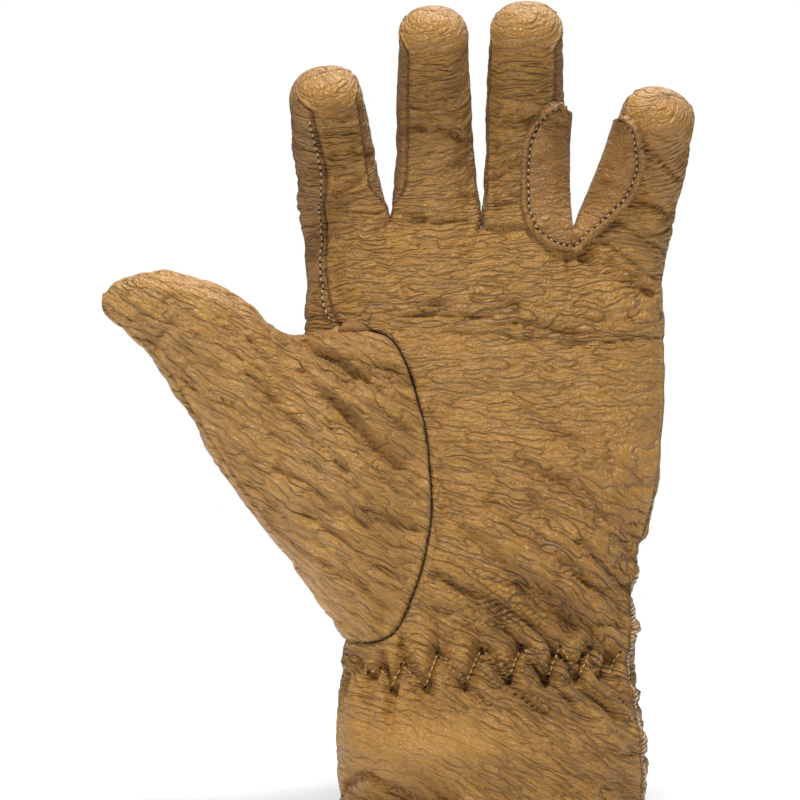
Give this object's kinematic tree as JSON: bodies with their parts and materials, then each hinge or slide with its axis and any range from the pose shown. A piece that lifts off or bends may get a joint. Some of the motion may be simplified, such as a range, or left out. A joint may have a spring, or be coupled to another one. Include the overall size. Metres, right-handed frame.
{
  "type": "deerskin glove",
  "caption": "Left-hand deerskin glove in its worn form, hollow, with gathered wrist, set-in thumb, finger side strips and a U-shaped reinforcement patch.",
  "frame": {"origin": "middle of the wrist at the gathers, where the hand goes in", "axes": "+Z towards the fingertips, -Y out of the palm, -X towards the thumb"},
  "size_m": [0.1624, 0.056, 0.2337],
  "materials": {
    "palm_leather": "grained deerskin, matt",
    "back_leather": "grained deerskin, matt",
    "thumb_leather": "pebbled deerskin, matt",
    "side_leather": "smooth deerskin, matt",
    "patch_leather": "pebbled deerskin, matt",
    "edge_leather": "rolled edge, suede side out",
    "pale_thread": "waxed sewing thread",
    "tan_thread": "waxed sewing thread",
    "dark_thread": "dark sewing thread and needle holes"
  },
  "bodies": {
    "root": {"palm_panel": "palm_leather", "back_panel": "back_leather", "thumb_panel": "thumb_leather", "fourchette_index_middle": "side_leather", "fourchette_middle_ring": "side_leather", "fourchette_ring_little": "side_leather", "rein_patch": "patch_leather", "thumb_quirk": "patch_leather", "cuff_binding": "edge_leather"}
  },
  "joints": []
}
